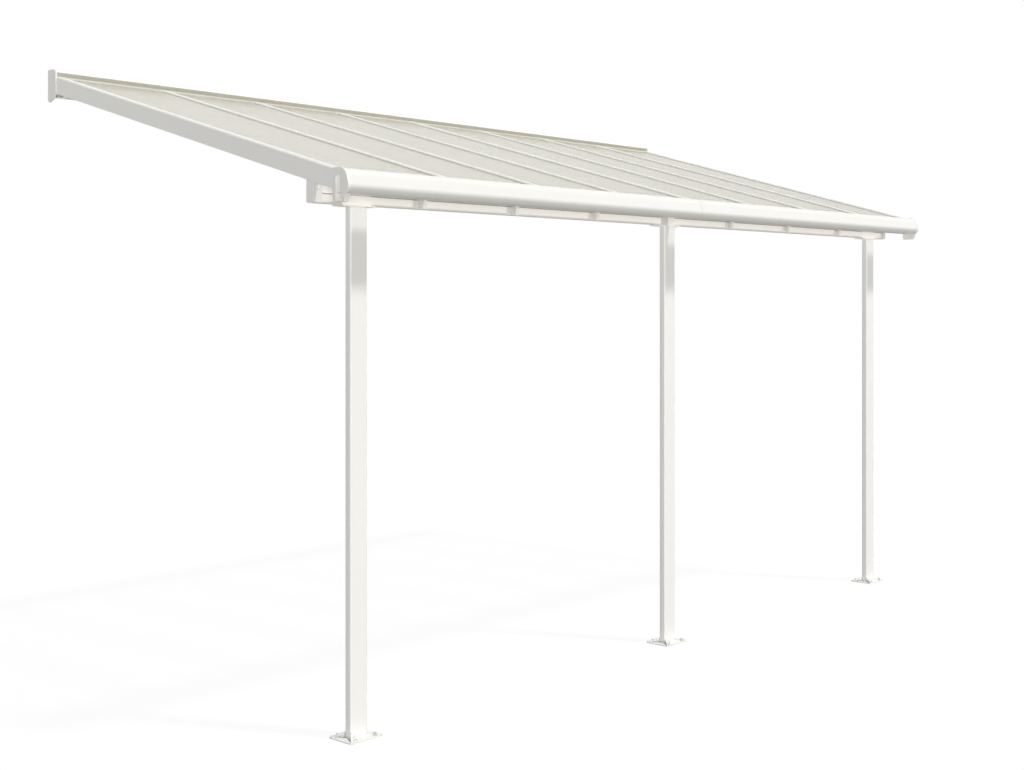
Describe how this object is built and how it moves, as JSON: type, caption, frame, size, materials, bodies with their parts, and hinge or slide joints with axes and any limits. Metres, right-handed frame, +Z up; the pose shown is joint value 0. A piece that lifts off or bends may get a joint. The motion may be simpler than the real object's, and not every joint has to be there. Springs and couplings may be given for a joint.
{
  "type": "attached patio cover",
  "caption": "Lean-to patio cover: clear twin-wall roof panels between sloping rafters, with a wall profile, a round-nosed gutter, a beam and slim posts on foot plates.",
  "frame": {"origin": "on the wall profile's flat back face, at mid-length and at the mid-height of its end caps", "axes": "+X along the wall, +Y into the wall, so the gutter faces -Y, and +Z up"},
  "size_m": [4.616, 2.1999, 2.85],
  "materials": {
    "coated_aluminium": "satin white powder coat on extruded aluminium",
    "twin_wall_panel": "clear twin-wall polycarbonate",
    "moulded_plastic": "satin white moulded plastic"
  },
  "bodies": {
    "root": {"wall_profile_left": "coated_aluminium", "wall_profile_right": "coated_aluminium", "wall_end_caps": "moulded_plastic", "rafter_1": "coated_aluminium", "rafter_2": "coated_aluminium", "rafter_3": "coated_aluminium", "rafter_4": "coated_aluminium", "rafter_5": "coated_aluminium", "rafter_6": "coated_aluminium", "rafter_7": "coated_aluminium", "rafter_8": "coated_aluminium", "rafter_9": "coated_aluminium", "panel_1": "twin_wall_panel", "panel_2": "twin_wall_panel", "panel_3": "twin_wall_panel", "panel_4": "twin_wall_panel", "panel_5": "twin_wall_panel", "panel_6": "twin_wall_panel", "panel_7": "twin_wall_panel", "panel_8": "twin_wall_panel", "gutter_left": "coated_aluminium", "gutter_right": "coated_aluminium", "gutter_joiner": "moulded_plastic", "gutter_end_cap_left": "moulded_plastic", "gutter_end_cap_right": "moulded_plastic", "beam_left": "coated_aluminium", "beam_right": "coated_aluminium", "beam_end_caps": "moulded_plastic", "rafter_brackets": "moulded_plastic", "post_head_left": "moulded_plastic", "post_head_middle": "moulded_plastic", "post_head_right": "moulded_plastic", "post_left": "coated_aluminium", "post_middle": "coated_aluminium", "post_right": "coated_aluminium", "foot_left": "moulded_plastic", "foot_middle": "moulded_plastic", "foot_right": "moulded_plastic"}
  },
  "joints": []
}
